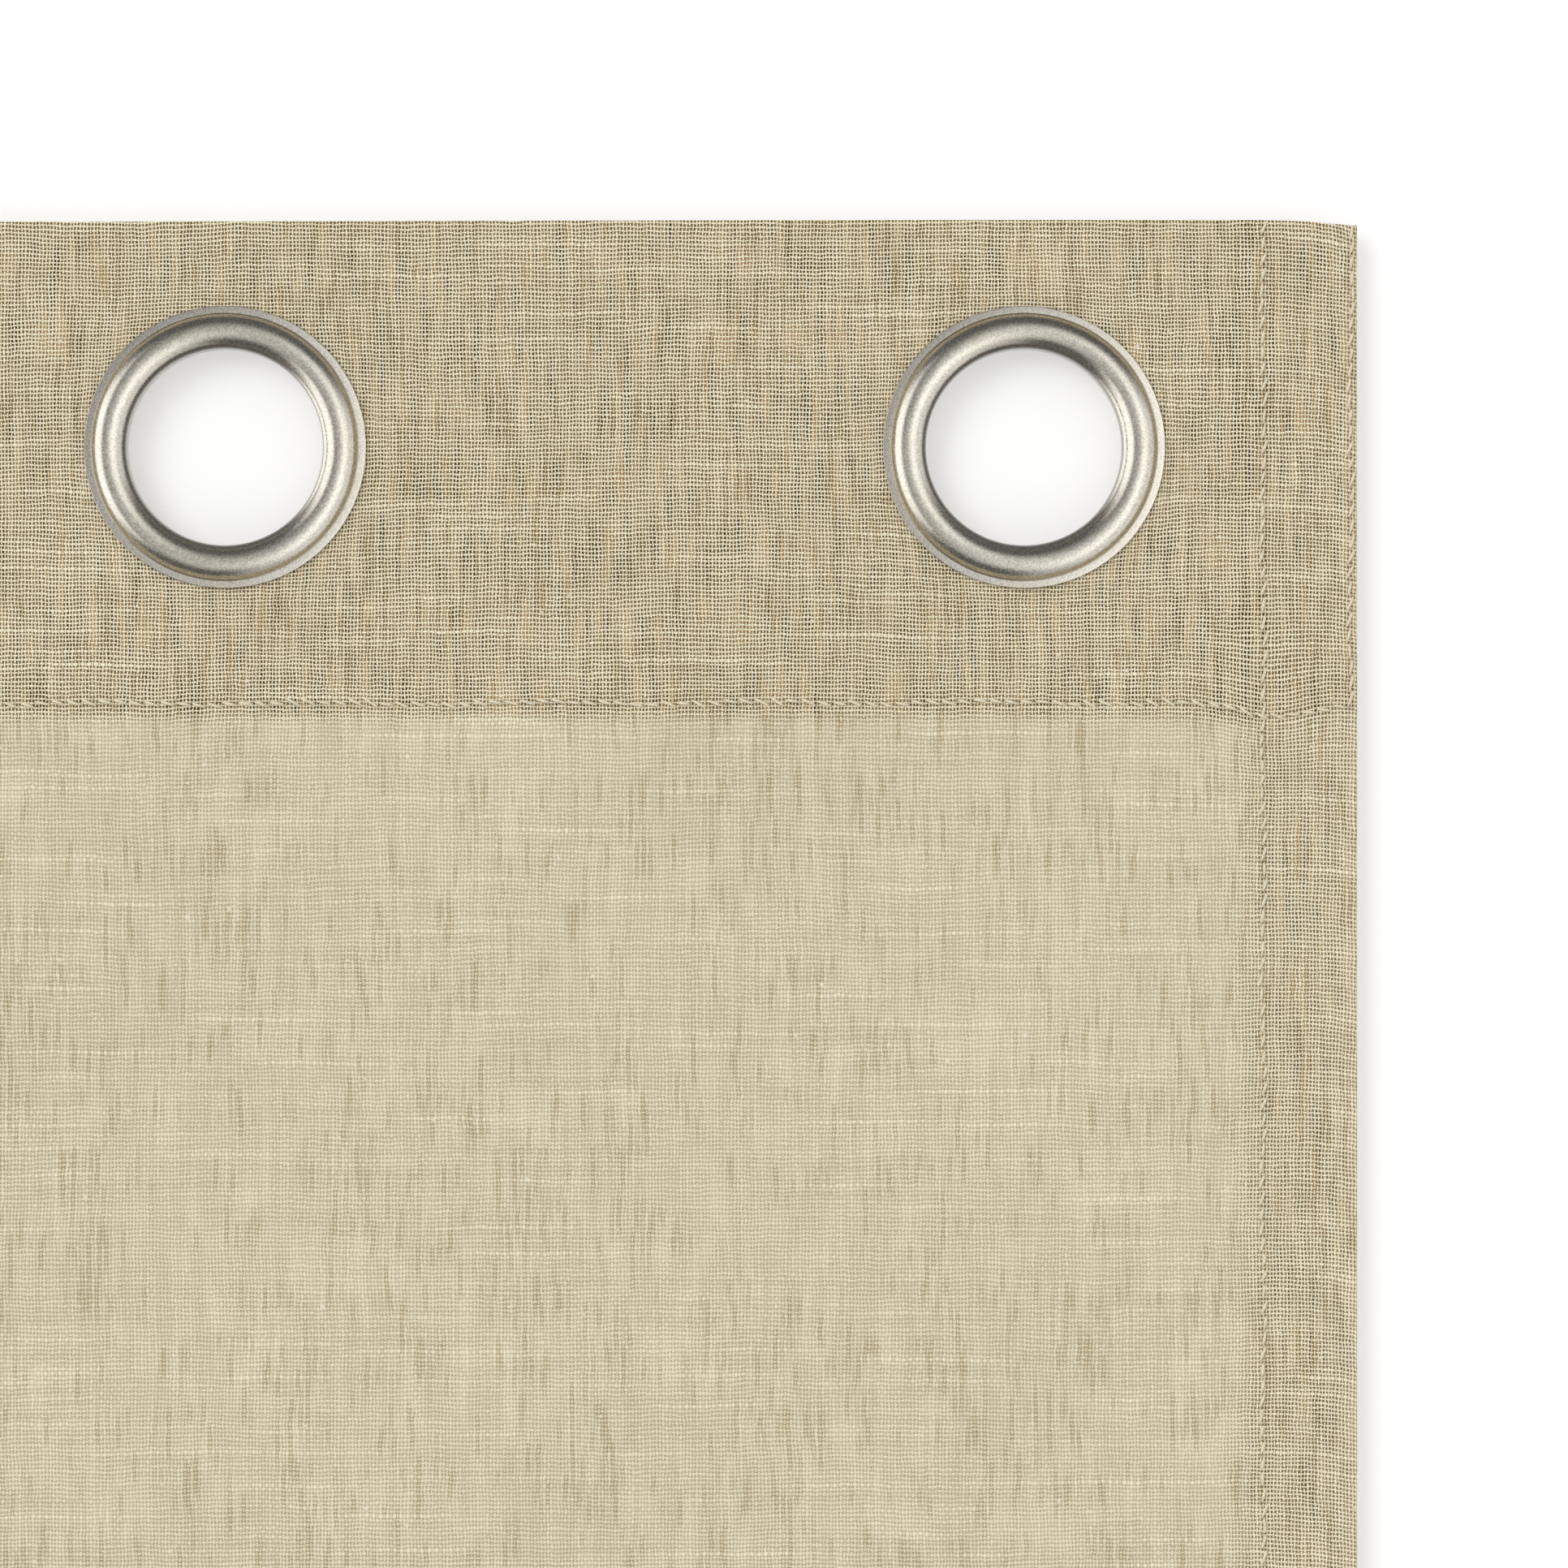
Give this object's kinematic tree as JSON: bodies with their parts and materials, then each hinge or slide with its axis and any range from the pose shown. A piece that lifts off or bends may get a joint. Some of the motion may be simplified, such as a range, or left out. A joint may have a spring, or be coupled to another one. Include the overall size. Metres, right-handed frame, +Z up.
{
  "type": "grommet-top curtain panel",
  "caption": "Flat semi-sheer linen curtain panel with a turned header, metal grommets for a rod, hemmed sides and bottom, able to gather into pleats.",
  "frame": {"origin": "middle of the line through the grommet centres, in the plane of the cloth, where the rod carries the panel", "axes": "+Z up the panel, -Y out of its front face, +X to the right seen from the front"},
  "size_m": [1.321, 0.0081, 2.134],
  "materials": {
    "linen": "matte",
    "sewing_thread": "matte",
    "grommet_metal": "satin",
    "washer_metal": "satin"
  },
  "bodies": {
    "section_1": {"cloth_section_1": "linen", "grommet_ring_1": "grommet_metal", "grommet_washer_1": "washer_metal", "header_stitching_1": "sewing_thread", "bottom_hem_stitching_1": "sewing_thread", "side_hem_stitching_left": "sewing_thread", "header_end_stitching_left": "sewing_thread"},
    "fold_1": {"cloth_fold_1": "linen"},
    "section_2": {"cloth_section_2": "linen", "grommet_ring_2": "grommet_metal", "grommet_washer_2": "washer_metal", "header_stitching_2": "sewing_thread", "bottom_hem_stitching_2": "sewing_thread"},
    "fold_2": {"cloth_fold_2": "linen"},
    "section_3": {"cloth_section_3": "linen", "grommet_ring_3": "grommet_metal", "grommet_washer_3": "washer_metal", "header_stitching_3": "sewing_thread", "bottom_hem_stitching_3": "sewing_thread"},
    "fold_3": {"cloth_fold_3": "linen"},
    "section_4": {"cloth_section_4": "linen", "grommet_ring_4": "grommet_metal", "grommet_washer_4": "washer_metal", "header_stitching_4": "sewing_thread", "bottom_hem_stitching_4": "sewing_thread"},
    "fold_4": {"cloth_fold_4": "linen"},
    "section_5": {"cloth_section_5": "linen", "grommet_ring_5": "grommet_metal", "grommet_washer_5": "washer_metal", "header_stitching_5": "sewing_thread", "bottom_hem_stitching_5": "sewing_thread"},
    "fold_5": {"cloth_fold_5": "linen"},
    "section_6": {"cloth_section_6": "linen", "grommet_ring_6": "grommet_metal", "grommet_washer_6": "washer_metal", "header_stitching_6": "sewing_thread", "bottom_hem_stitching_6": "sewing_thread"},
    "fold_6": {"cloth_fold_6": "linen"},
    "section_7": {"cloth_section_7": "linen", "grommet_ring_7": "grommet_metal", "grommet_washer_7": "washer_metal", "header_stitching_7": "sewing_thread", "bottom_hem_stitching_7": "sewing_thread"},
    "fold_7": {"cloth_fold_7": "linen"},
    "section_8": {"cloth_section_8": "linen", "grommet_ring_8": "grommet_metal", "grommet_washer_8": "washer_metal", "header_stitching_8": "sewing_thread", "bottom_hem_stitching_8": "sewing_thread", "side_hem_stitching_right": "sewing_thread", "header_end_stitching_right": "sewing_thread"}
  },
  "joints": [
    {"name": "turn_section_7", "type": "hinge", "parent": "fold_7", "child": "section_7", "pos_m": [0.49071, 0, 0], "axis": [0, 0, 1], "range_deg": [0, 90]},
    {"name": "turn_fold_6", "type": "hinge", "parent": "section_7", "child": "fold_6", "pos_m": [0.35214, 0, 0], "axis": [0, 0, 1], "range_deg": [-90, 0]},
    {"name": "turn_section_6", "type": "hinge", "parent": "fold_6", "child": "section_6", "pos_m": [0.32214, 0, 0], "axis": [0, 0, 1], "range_deg": [-90, 0]},
    {"name": "turn_fold_5", "type": "hinge", "parent": "section_6", "child": "fold_5", "pos_m": [0.18357, 0, 0], "axis": [0, 0, 1], "range_deg": [0, 90]},
    {"name": "turn_section_5", "type": "hinge", "parent": "fold_5", "child": "section_5", "pos_m": [0.15357, 0, 0], "axis": [0, 0, 1], "range_deg": [0, 90]},
    {"name": "turn_fold_4", "type": "hinge", "parent": "section_5", "child": "fold_4", "pos_m": [0.015, 0, 0], "axis": [0, 0, 1], "range_deg": [-90, 0]},
    {"name": "turn_section_4", "type": "hinge", "parent": "fold_4", "child": "section_4", "pos_m": [-0.015, 0, 0], "axis": [0, 0, 1], "range_deg": [-90, 0]},
    {"name": "turn_fold_3", "type": "hinge", "parent": "section_4", "child": "fold_3", "pos_m": [-0.15357, 0, 0], "axis": [0, 0, 1], "range_deg": [0, 90]},
    {"name": "turn_section_3", "type": "hinge", "parent": "fold_3", "child": "section_3", "pos_m": [-0.18357, 0, 0], "axis": [0, 0, 1], "range_deg": [0, 90]},
    {"name": "turn_fold_2", "type": "hinge", "parent": "section_3", "child": "fold_2", "pos_m": [-0.32214, 0, 0], "axis": [0, 0, 1], "range_deg": [-90, 0]},
    {"name": "turn_section_2", "type": "hinge", "parent": "fold_2", "child": "section_2", "pos_m": [-0.35214, 0, 0], "axis": [0, 0, 1], "range_deg": [-90, 0]},
    {"name": "turn_fold_1", "type": "hinge", "parent": "section_2", "child": "fold_1", "pos_m": [-0.49071, 0, 0], "axis": [0, 0, 1], "range_deg": [0, 90]},
    {"name": "turn_section_1", "type": "hinge", "parent": "fold_1", "child": "section_1", "pos_m": [-0.52071, 0, 0], "axis": [0, 0, 1], "range_deg": [0, 90]},
    {"name": "gather", "type": "hinge", "parent": "fold_7", "child": "section_8", "pos_m": [0.52071, 0, 0], "axis": [0, 0, -1], "range_deg": [0, 90]}
  ],
  "couplings": [
    {"joint": "turn_section_7", "follows": "gather", "ratio": 1},
    {"joint": "turn_fold_6", "follows": "gather", "ratio": -1},
    {"joint": "turn_section_6", "follows": "gather", "ratio": -1},
    {"joint": "turn_fold_5", "follows": "gather", "ratio": 1},
    {"joint": "turn_section_5", "follows": "gather", "ratio": 1},
    {"joint": "turn_fold_4", "follows": "gather", "ratio": -1},
    {"joint": "turn_section_4", "follows": "gather", "ratio": -1},
    {"joint": "turn_fold_3", "follows": "gather", "ratio": 1},
    {"joint": "turn_section_3", "follows": "gather", "ratio": 1},
    {"joint": "turn_fold_2", "follows": "gather", "ratio": -1},
    {"joint": "turn_section_2", "follows": "gather", "ratio": -1},
    {"joint": "turn_fold_1", "follows": "gather", "ratio": 1},
    {"joint": "turn_section_1", "follows": "gather", "ratio": 1}
  ]
}
